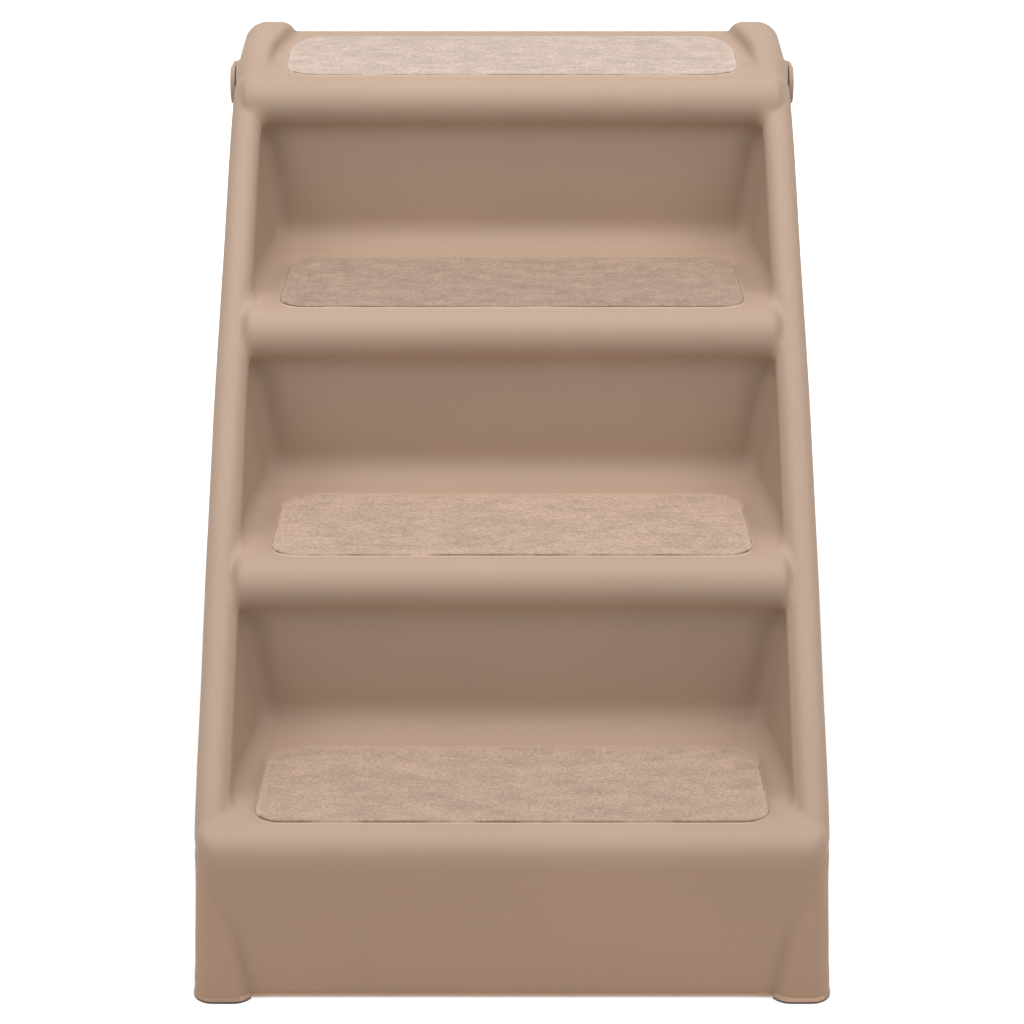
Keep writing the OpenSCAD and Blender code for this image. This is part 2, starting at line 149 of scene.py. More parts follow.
# Hinge and leg
HINGE_Y = 487.0
HINGE_Z = 446.0
BARREL_R = 22.0
SEAT_R = 17.0
SEAT_X = 194.9
LEG_LEAN = math.radians(9.0)
LEG_NEAR = 24.0
LEG_T = 30.0
LEG_TOP = 8.0
LEG_REACH = 459.1
LEG_HALF_W = 200.3
LEG_CORNER_R = 26.0
EAR_IN = 195.9
EAR_R = 13.5
EAR_OUT = 199.3
EAR_WEB = 62.0
# Openings of the leg: half width, and from where to where along the leg
WINDOW = (115.0, -202.0, -82.0)
ARCH = (125.0, -560.0, -289.1)
OPENING_R = 32.0
OPENING_EDGE_R = 2.0
LEG_FAR = 700.0
LEG_EDGE_R = 5.0
LEG_FLOOR_R = 1.5
CHANNEL_X = 162.65
CHANNEL = (-374.1, -66.0)
CHANNEL_R = 8.0
CHANNEL_DEEP = 6.0
CHANNEL_FLOOR_R = 3.0
CHANNEL_EDGE_R = 2.5
ROD_BORE_R = 5.05
SCREW_HEAD_R = 7.3
SCREW_DEEP = 2.45

# Inserts
PAD_W = (318.0, 308.0, 308.0, 310.0)
PAD_D = 94.5
PAD_TAPER = (2.0, 2.0, 2.0, -0.5)
PAD_FRONT_R = (16.0, 16.0, 16.0, 22.0)
PAD_BACK_R = ((24.0, 24.0), (24.0, 24.0), (18.0, 18.0), (22.0, 42.0))
RECESS_D = 2.0
RECESS_GAP = 0.5
LIP_R = 1.0
LIP_SPAN = 2.0
CUTTER_TOP = 3.0
PAD_BASE = -1.65
PILE_TOP = 0.85
PILE_CURL = 1.5
# Of the noise in the pile: its scale, and how high it lifts the pile
PILE_COARSE = (0.05, 0.12)
PILE_FINE = (0.42, 0.2)
RAGGED_SCALE = 0.45
EDGE_CLEAR = 1.7
EDGE_LIGHTER = 2.2


def tread_z(k):
    """The height of a tread; k counts from 0, the lowest."""
    return FIRST_TREAD + k * STEP_RISE


def nose(k):
    """The centre of a nose's rounding in the side view."""
    if k == 0:
        return FIRST_NOSE_R - FRONT_LEAN, tread_z(0) - FIRST_NOSE_R
    return FIRST_NOSE_R - FRONT_LEAN - SETBACK + k * STEP_RUN, tread_z(k) - NOSE_R


def pad_front(k):
    """Where the front edge of an insert is."""
    return FIRST_NOSE_R - FRONT_LEAN + k * STEP_RUN


def riser_y(k):
    """Where the riser above a tread is."""
    return nose(k + 1)[0] - NOSE_R + NOSE_OVERHANG


TOP_Y, TOP_NOSE_Z = nose(STEP_COUNT - 1)
TOP_Z = tread_z(STEP_COUNT - 1)


def to_frame(points):
    """Millimetres from the front wall's foot, as metres of the frame."""
    points = np.array(points, dtype=float)
    points[:, 1] -= MIDDLE_Y
    return points * MM


def rail_y(z):
    """Where the axis of the rails' beads is, at a height."""
    return TOP_Y - (TOP_NOSE_Z - z) / math.tan(SLOPE)


def side_x(z):
    """How far out a side reaches at a height: it leans in, and bows in a little at foot and top."""
    return HALF_W + RAIL_PROUD - DRAFT * z - np.interp(z, SIDE_AT, SIDE_IN)


# Outlines of the side view

TABLE_LOW = (-30.0, -20.0)
TABLE_CELLS = (600, 540)
STEPS_SOFTEN = 2.6
SIDES_SOFTEN = 2.0


def arc(center, r, start, end, count=16):
    """Points along an arc, its ends in degrees."""
    turn = np.radians(np.linspace(start, end, count + 1))
    return [(center[0] + r * math.cos(a), center[1] + r * math.sin(a)) for a in turn]


def back_outline():
    """From the top tread's back edge round the hinge's barrel and down the underside to the floor."""
    lean = math.tan(LEG_LEAN)
    start = HINGE_Y + BARREL_R * math.cos(LEG_LEAN)
    start_z = HINGE_Z + BARREL_R * math.sin(LEG_LEAN)
    under = TOP_Z - LIP_T
    foot = (HINGE_Y + BARREL_R * math.sin(SLOPE), HINGE_Z - BARREL_R * math.cos(SLOPE))
    skin = foot[1] + (FOOT_D - foot[0]) * math.tan(SLOPE)
    points = [(BACK_Y, TOP_Z), (BACK_Y, under), (start - (under - start_z) * lean, under)]
    points += arc((HINGE_Y, HINGE_Z), BARREL_R, math.degrees(LEG_LEAN), math.degrees(SLOPE) - 90)
    return points + [(FOOT_D, skin), (FOOT_D, FLOOR_GAP)]


def step_outline():
    """The steps between the side walls."""
    points = [(0, FLOOR_GAP)]
    for k in range(STEP_COUNT):
        r = FIRST_NOSE_R if k == 0 else NOSE_R
        start = 180 if k == 0 else 360 - math.degrees(math.acos((NOSE_OVERHANG - NOSE_R) / r))
        points += arc(nose(k), r, start, 90)
        if k < STEP_COUNT - 1:
            center = (riser_y(k) - RISER_FOOT_R, tread_z(k) + RISER_FOOT_R)
            points += arc(center, RISER_FOOT_R, -90, 0)
    return points + back_outline()


def side_outline():
    """A side wall, straight along the rail."""
    foot = nose(0)
    return [(foot[0], FLOOR_GAP), (rail_y(foot[1]), foot[1]), (rail_y(TOP_Z), TOP_Z)] + back_outline()


class SideTable:
    """Signed distance to a closed outline in the side view, negative inside, from a table of 1 mm cells."""

    def __init__(self, outline, soften):
        self.low = TABLE_LOW
        self.shape = TABLE_CELLS
        y = self.low[0] + np.arange(self.shape[0])[:, None]
        z = self.low[1] + np.arange(self.shape[1])[None, :]
        nearest = np.full(self.shape, 1e9)
        inside = np.zeros(self.shape, dtype=bool)
        for a, b in zip(outline, outline[1:] + outline[:1]):
            run, rise = b[0] - a[0], b[1] - a[1]
            length = run * run + rise * rise
            if length < 1e-9:
                continue
            share = np.clip(((y - a[0]) * run + (z - a[1]) * rise) / length, 0, 1)
            nearest = np.minimum(nearest, (y - a[0] - share * run) ** 2 + (z - a[1] - share * rise) ** 2)
            if rise != 0:
                crosses = ((a[1] > z) != (b[1] > z)) & (y < a[0] + (z - a[1]) * run / rise)
                inside ^= crosses
        table = np.sqrt(nearest) * np.where(inside, -1, 1)
        reach = 8
        spread = np.exp(-0.5 * (np.arange(-reach, reach + 1) / soften) ** 2)
        spread /= spread.sum()

        def blur(row):
            return np.convolve(np.pad(row, reach, "edge"), spread, "valid")

        for axis in (0, 1):
            table = np.apply_along_axis(blur, axis, table)
        self.table = table

    def __call__(self, y, z):
        y, z = np.broadcast_arrays(y, z)
        u = np.clip(y - self.low[0], 0, self.shape[0] - 1.001)
        v = np.clip(z - self.low[1], 0, self.shape[1] - 1.001)
        i = u.astype(int)
        j = v.astype(int)
        u = u - i
        v = v - j
        t = self.table
        return ((t[i, j] * (1 - u) + t[i + 1, j] * u) * (1 - v)
                + (t[i, j + 1] * (1 - u) + t[i + 1, j + 1] * u) * v)


# Distances that blend into each other with a rounding

def join(a, b, r):
    """Union with a hollow rounding."""
    u = np.maximum(r - a, 0)
    v = np.maximum(r - b, 0)
    return np.maximum(r, np.minimum(a, b)) - np.sqrt(u * u + v * v)


def cut(a, b, r):
    """Intersection with a full rounding."""
    u = np.maximum(r + a, 0)
    v = np.maximum(r + b, 0)
    return np.minimum(-r, np.maximum(a, b)) + np.sqrt(u * u + v * v)


def ease(value, low, high):
    """Goes smoothly from 0 at low to 1 at high."""
    t = np.clip((value - low) / (high - low), 0, 1)
    return t * t * (3 - 2 * t)


def round_box(x, y, half_x, low_y, high_y, r):
    """Flat distance to a rectangle with round corners, centred across."""
    u = np.abs(x) - half_x + r
    v = np.abs(y - (low_y + high_y) / 2) - (high_y - low_y) / 2 + r
    return np.minimum(np.maximum(u, v), 0) + np.sqrt(np.maximum(u, 0) ** 2 + np.maximum(v, 0) ** 2) - r


steps_table = SideTable(step_outline(), STEPS_SOFTEN)
sides_table = SideTable(side_outline(), SIDES_SOFTEN)


def flank_x(y):
    """Where a horn's inner flank is: it moves inward, faster and faster, towards the back."""
    return HORN_FLANK_X - HORN_WIDEN * np.maximum(y - HORN_FLANK_Y, 0) ** 2


def post_inner_x(z):
    """Where the inner edge of a corner post is: further out towards the top, where the post is narrower."""
    return POST_IN_X + POST_LEAN * z + POST_SPREAD * z * z


def body_distance(x, y, z):
    """The moulded body, without its recesses, its rim and its hinge seats."""
    x = np.abs(x)
    side = side_x(z)
    behind = y - rail_y(z)
    deep = behind * math.sin(SLOPE)
    steps = steps_table(y, z)
    body = between_rails(x, y, z, behind, deep, steps)
    block = cut(steps, np.maximum(y - FOOT_D, z - FIRST_TREAD), BLOCK_EDGE_R)
    block = cut(block, x - side + RAIL_PROUD, SHARP_R + FIRST_END_R * ease(z, *FIRST_END_Z))
    body = join(body, block, BLOCK_JOIN_R)
    body = cut(body, round_box(x, y, side - RAIL_PROUD, -FRONT_LEAN, BACK_Y, CORNER_R), PLAN_EDGE_R)
    rise = HORN_RISE * ease(y, *HORN_Y)
    shoulder_x = x - side + RAIL_PROUD - SHOULDER_OUT * ease(y, *SHOULDER_OUT_Y)
    shoulder = cut(z - TOP_Z - rise, shoulder_x, SHOULDER_R)
    body = np.maximum(body, shoulder - SHOULDER_OFF * (1 - ease(y, *SHOULDER_Y)))
    body = with_bead(body, x, y, z, side, deep)
    body = with_horn(body, x, y, z, shoulder, rise, deep)
    body = with_post(body, x, y, z, side)
    return cut(body, FLOOR_GAP + TRIM_UP - z, FLOOR_EDGE_R)


def between_rails(x, y, z, behind, deep, steps):
    """The steps with the side walls on both sides, in a hollow rounding that is small under a nose."""
    end_x = NOSE_END_X + (TOP_NOSE_END_X - NOSE_END_X) * ease(z, *CORE_END_Z)
    core = cut(steps, x - end_x, CORE_EDGE_R[0] - CORE_EDGE_R[1] * ease(deep, *CORE_EDGE_DEEP))
    wall = np.maximum(sides_table(y, z), WALL_FRONT_X - WALL_TAPER * behind - x)
    phase = (z - FIRST_TREAD) % STEP_RISE
    under = ease(phase, *UNDER_NOSE_FROM) * (1 - ease(phase, *UNDER_NOSE_TO))
    under = under * (1 - ease(behind, *UNDER_NOSE_BEHIND))
    outside = 1 - ease(deep, SKIN_DEEP - SKIN_FADE[0], SKIN_DEEP - SKIN_FADE[1])
    return join(core, wall, WALL_JOIN_R[0] + (WALL_JOIN_R[1] - UNDER_NOSE_LESS * under) * outside)


def with_bead(body, x, y, z, side, deep):
    """Adds the bead along a rail, with round ends."""
    bead_x = side - RAIL_R
    along = (y - TOP_Y) * math.cos(SLOPE) + (z - TOP_NOSE_Z) * math.sin(SLOPE)
    low_end = (rail_y(BEAD_FOOT_Z) - TOP_Y) / math.cos(SLOPE)
    past = np.maximum(np.maximum(along - BEAD_END, low_end - along), 0)
    bead = np.sqrt(deep ** 2 + (x - bead_x) ** 2 + past ** 2) - RAIL_R
    return join(body, bead, BEAD_JOIN_R[0] - BEAD_JOIN_R[1] * ease(x - bead_x, *BEAD_JOIN_X))


def with_horn(body, x, y, z, shoulder, rise, deep):
    """Adds the horn on a top corner, in a hollow rounding towards the top tread."""
    flank = flank_x(y)
    horn = cut(shoulder, flank - x, HORN_INNER_R + (HORN_END_R - HORN_INNER_R) * ease(y, *HORN_END_Y))
    horn = cut(horn, y - HORN_BACK, HORN_BACK_R)
    horn = cut(horn, -deep - RAIL_R, HORN_FRONT_R)
    horn = np.maximum(horn, TOP_Z - LIP_T + 1 - z)
    hollow = np.clip(HORN_HOLLOW_SHARE * rise, SHARP_R, HORN_HOLLOW) - SHARP_R
    hollow = hollow * (1 - ease(x - flank, *HORN_HOLLOW_X)) * (1 - ease(y, *HORN_HOLLOW_Y))
    return join(body, horn, SHARP_R + hollow)


def with_post(body, x, y, z, side):
    """Adds the post on a front corner."""
    inner = post_inner_x(z)
    front = POST_BEND * z * z - POST_OUT
    r = POST_R + (CORNER_R - 1 - POST_R) * ease(z, *POST_R_Z)
    outer = side - POST_OFF_SIDE
    post = round_box(x - (outer + inner) / 2, y, (outer - inner) / 2, front, front + POST_DEEP, r)
    blend = POST_JOIN_R[0] - POST_JOIN_R[1] * ease(x - inner, *POST_JOIN_X)
    return join(body, np.maximum(post, z - POST_TOP), blend)


def leg_distance(x, n, u):
    """The leg in its own directions: n away from the hinge, u along the leg, up."""
    flat = round_box(x, u, LEG_HALF_W, -LEG_FAR, LEG_TOP, LEG_CORNER_R)
    for half, low, high in (WINDOW, ARCH):
        flat = cut(flat, -round_box(x, u, half, low, high, OPENING_R), OPENING_EDGE_R)
    slab = cut(flat, np.abs(n - LEG_NEAR - LEG_T / 2) - LEG_T / 2, LEG_EDGE_R)
    along = u - np.clip(u, *CHANNEL)
    channel = np.sqrt((np.abs(x) - CHANNEL_X) ** 2 + along ** 2) - CHANNEL_R
    channel = cut(channel, LEG_NEAR + LEG_T - CHANNEL_DEEP - n, CHANNEL_FLOOR_R)
    slab = cut(slab, -channel, CHANNEL_EDGE_R)
    floor = FLOOR_GAP + TRIM_UP - (HINGE_Z + n * math.sin(LEG_LEAN) + u * math.cos(LEG_LEAN))
    return cut(slab, floor, LEG_FLOOR_R)


# Meshes

NET_CELL = 2.6
BODY_LOW = (0, -14, -4)
BODY_HIGH = (205, 532, 500)
PAD_CELL = 1.4
SHARP_ANGLE = math.radians(38)


def net(distance, low, high, cell):
    """Vertices and quads of the surface where a distance that is the same at x and -x is zero."""
    part = 12
    half = cell * (0.5 + np.arange(int(high[0] / cell) + 2))
    across = np.concatenate([-half[::-1], half])
    y = np.arange(low[1], high[1] + cell, cell)
    z = np.arange(low[2], high[2] + cell, cell)
    right = np.concatenate([distance(half[i:i + part, None, None], y[None, :, None], z[None, None, :])
                            for i in range(0, len(half), part)])
    values = np.concatenate([right[::-1], right])
    inside = values < 0
    corners = [(a, b, c) for a in (0, 1) for b in (0, 1) for c in (0, 1)]
    size = [n - 1 for n in inside.shape]
    count = sum(inside[a:a + size[0], b:b + size[1], c:c + size[2]].astype(np.int8)
                for a, b, c in corners)
    mixed = (count > 0) & (count < 8)
    index = np.full(mixed.shape, -1)
    index[mixed] = np.arange(mixed.sum())
    cells = np.argwhere(mixed)
    total = np.zeros((len(cells), 3))
    hits = np.zeros(len(cells))
    for first in corners:
        for axis in range(3):
            if first[axis]:
                continue
            second = list(first)
            second[axis] = 1
            a = values[tuple((cells + first).T)]
            b = values[tuple((cells + second).T)]
            hit = (a < 0) != (b < 0)
            place = np.tile(np.array(first, dtype=float), (len(cells), 1))
            place[:, axis] = np.where(hit, a / np.where(hit, a - b, 1), 0)
            total += place * hit[:, None]
            hits += hit
    points = np.array([across[0], y[0], z[0]]) + (cells + total / hits[:, None]) * cell
    quads = []
    for axis in range(3):
        lower = np.take(inside, range(inside.shape[axis] - 1), axis)
        upper = np.take(inside, range(1, inside.shape[axis]), axis)
        at = np.argwhere(lower != upper)
        b = np.eye(3, dtype=int)[(axis + 1) % 3]
        c = np.eye(3, dtype=int)[(axis + 2) % 3]
        around = np.stack([index[tuple(p.T)] for p in (at - b - c, at - c, at, at - b)], axis=1)
        outward = lower[tuple(at.T)]
        quads.append(np.where(outward[:, None], around, around[:, ::-1]))
    quads = np.concatenate(quads)
    settle(points, quads, distance, cell)
    return points, quads


def pull(points, distance, limit):
    """Moves the points onto the surface."""
    tiny = 0.3
    least_steep = 0.05
    for _ in range(3):
        here = distance(*points.T)
        moved = [distance(*(points + tiny * np.eye(3)[i]).T) - here for i in range(3)]
        slope = np.stack(moved, axis=1) / tiny
        steep = np.maximum((slope ** 2).sum(axis=1), least_steep)
        points -= slope * np.clip(here / steep, -limit, limit)[:, None]


def settle(points, quads, distance, cell):
    """Evens the points out along the surface."""
    strength = 0.6
    a = quads.ravel()
    b = np.roll(quads, 1, axis=1).ravel()
    ends = np.concatenate([a, b])
    others = np.concatenate([b, a])
    degree = np.bincount(ends, minlength=len(points))
    pull(points, distance, cell / 2)
    for _ in range(3):
        mean = np.stack([np.bincount(ends, points[others, i], len(points)) for i in range(3)], axis=1)
        points += strength * (mean / degree[:, None] - points)
        pull(points, distance, cell / 2)


def mesh_object(name, points, faces, body=None):
    """A mesh object in metres of the frame, which may ride on a body."""
    mesh = bpy.data.meshes.new(name)
    mesh.from_pydata([tuple(p) for p in np.asarray(points).tolist()], [], [tuple(f) for f in faces])
    mesh.validate()
    mesh.shade_smooth()
    obj = bpy.data.objects.new(name, mesh)
    bpy.context.scene.collection.objects.link(obj)
    if body:
        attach(obj, body)
    return obj


def mark(obj, name, values):
    """Gives each vertex a value that a material reads by this name."""
    marks = obj.data.attributes.new(name, "FLOAT", "POINT")
    marks.data.foreach_set("value", values)


def loft(loops):
    """A closed solid through loops of equally many points, capped at the first and the last."""
    count = len(loops[0])
    points = [p for loop in loops for p in loop]
    faces = [tuple(range(count))[::-1]]
    for i in range(len(loops) - 1):
        for j in range(count):
            n = (j + 1) % count
            faces.append((i * count + j, i * count + n, (i + 1) * count + n, (i + 1) * count + j))
    last = (len(loops) - 1) * count
    faces.append(tuple(range(last, last + count)))
    return points, faces


def pad_loop(k, grow, spacing=None):
    """An insert's outline, counter-clockwise from its front left corner."""
    half = PAD_W[k] / 2 + grow
    back_half = half - PAD_TAPER[k]
    front = pad_front(k) - grow
    back = pad_front(k) + PAD_D + grow
    fr = PAD_FRONT_R[k] + grow
    bx, by = (r + grow for r in PAD_BACK_R[k])
    loop = arc((-half + fr, front + fr), fr, 180, 270)
    loop += arc((half - fr, front + fr), fr, 270, 360)
    corner = [(bx * x, by * y) for x, y in arc((0, 0), 1, 0, 90)]
    loop += [(back_half - bx + x, back - by + y) for x, y in corner]
    loop += [(-back_half + bx - x, back - by + y) for x, y in corner[::-1]]
    if not spacing:
        return loop
    dense = []
    for a, b in zip(loop, loop[1:] + loop[:1]):
        parts = max(1, round(math.dist(a, b) / spacing))
        for i in range(parts):
            dense.append((a[0] + (b[0] - a[0]) * i / parts, a[1] + (b[1] - a[1]) * i / parts))
    return dense


def lip_ring(k):
    """The slightly raised lip round an insert's recess, a closed ring that is highest in front."""
    # How far out of the insert's edge, and how high
    profile = [(0.5, -1.4), (0.5, -0.25), (0.8, 0.1), (1.2, 0.3), (1.9, 0.3), (2.7, -0.1), (3.0, -1.4)]
    # The share of the painted highlight on each row of the profile, strongest on the lip's top
    highlight_share = (0.0, 0.5, 1.0, 1.0, 1.0, 0.2, 0.0)
    loops = [pad_loop(k, grow) for grow, _ in profile]
    front = [ease(-ny, 0.4, 0.9) for _, ny in pad_normals(loops[0])]
    rings = []
    for loop, (_, z) in zip(loops, profile):
        rings.append([(x, y, tread_z(k) + z * (0.5 + 1.5 * f if z > 0 else 1))
                      for (x, y), f in zip(loop, front)])
    loops = rings
    count = len(loops[0])
    points = [p for loop in loops for p in loop]
    faces = []
    for i in range(len(loops)):
        for j in range(count):
            a, b = i * count, (i + 1) % len(loops) * count
            n = (j + 1) % count
            faces.append((a + j, a + n, b + n, b + j))
    lip = to_object("lip", (points, faces))
    # Marks the painted highlight along the lip's top, fullest in front
    mark(lip, "lip", [row * (0.25 + 0.75 * f) for row in highlight_share for f in front])
    return lip


def recess_cutter(k):
    """What is cut from a tread for its insert: upright walls with a rounded lip."""
    rows = [(-RECESS_D, RECESS_GAP), (-LIP_R, RECESS_GAP)]
    for i in range(1, 7):
        turn = math.radians(15 * i)
        rows.append((-LIP_R + LIP_R * math.sin(turn), RECESS_GAP + LIP_R * (1 - math.cos(turn))))
    rows.append((CUTTER_TOP, RECESS_GAP + LIP_R + LIP_SPAN))
    loops = [[(x, y, tread_z(k) + z) for x, y in pad_loop(k, grow)] for z, grow in rows]
    return loft(loops)


def carve(obj, cutter):
    """Cuts one closed mesh object out of another, and removes the cutter."""
    modifier = obj.modifiers.new("cut", "BOOLEAN")
    modifier.operation = "DIFFERENCE"
    modifier.object = cutter
    modifier.solver = "MANIFOLD"
    graph = bpy.context.evaluated_depsgraph_get()
    mesh = bpy.data.meshes.new_from_object(obj.evaluated_get(graph), depsgraph=graph)
    obj.modifiers.clear()
    old = obj.data
    obj.data = mesh
    bpy.data.meshes.remove(old)
    bpy.data.objects.remove(cutter)


def lathe(rows, at, sign):
    """A turned piece about a line across the width: rows of (x, radius)."""
    count = 64
    loops = []
    for x, r in rows:
        turn = [2 * math.pi * i / count for i in range(count)]
        loops.append([(sign * x, at[0] + sign * r * math.cos(a), at[1] + r * math.sin(a)) for a in turn])
    return loft(loops)


def rim_path():
    """The line of the trimmed rim round the foot, seen from above."""
    r = POST_R + RIM_OUT
    edge = HALF_W + RIM_OUT
    inner = POST_IN_X - RIM_OUT
    turn_y = r - POST_OUT - RIM_OUT
    panel = -RIM_OUT
    meet = math.degrees(math.asin((turn_y - panel) / r))
    right = [(edge + 0.1, FOOT_D + 0.6), (edge, 50.0), (edge, 25.0)]
    right += arc((edge - r, turn_y), r, 0, -90, 12)
    right += arc((inner + r, turn_y), r, -90, meet - 180, 10)
    foot = inner + r - r * math.cos(math.radians(meet))
    right += [(foot - 2.5, panel - 0.3), (150.0, panel), (75.0, panel)]
    left = [(-px, py) for px, py in right[::-1]]
    return right + [(0.0, panel)] + left


def rim_solid():
    """The rim itself, swept along that line and closed behind."""
    path = rim_path()[::-1]
    count = len(path)
    normals = []
    for i, p in enumerate(path):
        a = path[i - 1]
        b = path[(i + 1) % count]
        if i in (0, count - 1):
            side = np.sign(p[0])
            normals.append((side, 0.6))
            continue
        tangent = np.array([b[0] - a[0], b[1] - a[1]])
        tangent /= np.linalg.norm(tangent)
        normals.append((tangent[1], -tangent[0]))
    # How far out of the line, and how far up
    rows = [(-3.0, 0.15), (-0.4, 0.15), (0.0, 0.6), (-0.1, 1.2), (-1.1, 3.3), (-3.0, 3.4)]
    # The rows of the rim's outer rounding that carry a painted highlight
    highlight_rows = (2, 3, 4)
    loops = []
    for p, n in zip(path, normals):
        loops.append([(p[0] + n[0] * out, p[1] + n[1] * out, FLOOR_GAP + up) for out, up in rows])
    rim = to_object("rim", loft(loops))
    # Marks the painted highlight on the rim
    mark(rim, "lip", [0.8 if i // count in highlight_rows else 0.0 for i in range(len(rows) * count)])
    return rim


def to_object(name, solid):
    """A mesh object of a closed solid in millimetres."""
    points, faces = solid
    obj = mesh_object(name, to_frame(points), faces)
    face_outward(obj)
    return obj


def face_outward(obj):
    """Turns all faces of a closed mesh to look outward."""
    shell = bmesh.new()
    shell.from_mesh(obj.data)
    bmesh.ops.recalc_face_normals(shell, faces=shell.faces)
    shell.to_mesh(obj.data)
    shell.free()


def absorb(obj, others):
    """Adds other closed solids to a mesh object as further shells."""
    bpy.ops.object.select_all(action="DESELECT")
    for o in others + [obj]:
        o.select_set(True)
    bpy.context.view_layer.objects.active = obj
    bpy.ops.object.join()


def pocket_depth(x, y, z):
    """How deep a place lies in painted shade: beside the rails' inner walls on the steps, beside the lower
    inserts, in the crease beside a post and along a horn's inner flank.
    """
    x = np.abs(x)
    behind = y - rail_y(z)
    shut = ease(x, 148, 162) * (1 - ease(x - side_x(z), -18, -9)) * ease(behind, 4, 22)
    on_steps = ease(steps_table(y, z), -3, 0) * ease(z, FIRST_TREAD - 8, FIRST_TREAD + 1)
    beside_rail = shut * on_steps * (y < 440)
    near_crease = np.exp(-((x - post_inner_x(z) - 1.5) / CREASE_W) ** 2)
    beside_post = near_crease * (1 - ease(z, 30, 75)) * (y < 12)
    near_flank = np.exp(-((x - flank_x(y) - 1) / 2.6) ** 2)
    beside_horn = near_flank * ease(y, 438, 470) * (z > TOP_Z - 1)
    depth = 0.36 * beside_rail + 0.42 * beside_post + 0.45 * beside_horn
    # Painted shadow along both sides of each lower insert
    for k in range(STEP_COUNT - 1):
        half = PAD_W[k] / 2
        back = pad_front(k) + PAD_D
        near = np.exp(-np.maximum(x - half, 0) / 5) * (x > half - 1)
        along = ease(y, pad_front(k) - 2, pad_front(k) + 20) * (1 - ease(y, back - 24, back + 2))
        depth += 0.5 * near * along * (np.abs(z - tread_z(k)) < 4)
    return depth


def smooth_between_edges(obj):
    """Smooth shading that stops at edges sharper than SHARP_ANGLE."""
    obj.data.shade_smooth()
    obj.data.set_sharp_from_angle(angle=SHARP_ANGLE)


def make_body():
    points, quads = net(body_distance, BODY_LOW, BODY_HIGH, NET_CELL)
    body = mesh_object("moulded_body", to_frame(points), quads.tolist())
    for k in range(STEP_COUNT):
        carve(body, to_object("cutter", recess_cutter(k)))
    extras = [rim_solid()]
    extras += [lip_ring(k) for k in range(STEP_COUNT)]
    rows = [(188, SEAT_R), (SEAT_X - 0.6, SEAT_R)]
    rows += [(SEAT_X - 0.15, SEAT_R - 0.2), (SEAT_X, SEAT_R - 0.7)]
    for sign in (1, -1):
        extras.append(to_object("seat", lathe(rows, (HINGE_Y, HINGE_Z), sign)))
    absorb(body, extras)
    spots = np.empty(len(body.data.vertices) * 3)
    body.data.vertices.foreach_get("co", spots)
    spots = spots.reshape(-1, 3) / MM + np.array([0, MIDDLE_Y, 0])
    # Painted shade in corners, creases and beside the inserts
    mark(body, "pocket", pocket_depth(*spots.T))
    # Painted shade tint on the lower part of the front panel
    mark(body, "panel", (1 - ease(spots[:, 2], 92, 112)) * (1 - ease(spots[:, 1], 4, 24)))
    smooth_between_edges(body)
    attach(body, "stairs")
    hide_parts("stair_body")
    return body


def ear_solid(sign):
    """One ear of the leg with its web, softly edged."""
    outline = arc((0, 0), EAR_R, 90, 261, 24)
    outline += [(LEG_NEAR + 8, -EAR_WEB), (LEG_NEAR + 8, -5.0), (LEG_NEAR - 2, EAR_R - 6)]
    outline = np.array(outline)
    middle = np.array([8.0, -18.0])
    rows = [(EAR_IN, 0.5), (EAR_IN + 0.5, 0.0)]
    rows += [(EAR_OUT - 0.9, 0.0), (EAR_OUT - 0.3, 0.35), (EAR_OUT, 0.9)]
    loops = []
    for x, inset in rows:
        away = outline - middle
        away /= np.linalg.norm(away, axis=1)[:, None]
        shape = outline - inset * away
        if sign < 0:
            shape = shape[::-1]
        loops.append([(sign * x, n, u) for n, u in shape])
    return loft(loops)


def leg_place(points):
    """From the leg's own directions to millimetres from the front wall's foot."""
    points = np.array(points, dtype=float)
    n = points[:, 1].copy()
    u = points[:, 2].copy()
    points[:, 1] = HINGE_Y + n * math.cos(LEG_LEAN) - u * math.sin(LEG_LEAN)
    points[:, 2] = HINGE_Z + n * math.sin(LEG_LEAN) + u * math.cos(LEG_LEAN)
    return points


def make_leg():
    low = (0, LEG_NEAR - 4, -LEG_REACH - 6)
    high = (206, LEG_NEAR + LEG_T + 4, LEG_TOP + 5)
    points, quads = net(leg_distance, low, high, NET_CELL)
    leg = mesh_object("moulded_leg", to_frame(leg_place(points)), quads.tolist())
    floor_x = LEG_HALF_W - SCREW_DEEP
    rows = [(EAR_IN - 4, ROD_BORE_R), (floor_x, ROD_BORE_R), (floor_x, SCREW_HEAD_R)]
    rows.append((LEG_HALF_W + 4, SCREW_HEAD_R))
    ears = []
    for sign in (1, -1):
        points, faces = ear_solid(sign)
        ear = to_object("ear", (leg_place(points), faces))
        carve(ear, to_object("cutter", lathe(rows, (HINGE_Y, HINGE_Z), sign)))
        ears.append(ear)
    absorb(leg, ears)
    smooth_between_edges(leg)
    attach(leg, "leg")
    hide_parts("rear_leg")
    return leg


def bumps(x, y, seed, scale):
    """Smooth noise about zero at a place."""
    return noise.noise(Vector((x * scale, y * scale, seed)))


def pile(x, y, seed):
    """How much the pile rises or falls at a place."""
    coarse = bumps(x, y, seed, PILE_COARSE[0])
    fine = bumps(x, y, seed + 5, PILE_FINE[0])
    return PILE_COARSE[1] * coarse + PILE_FINE[1] * fine


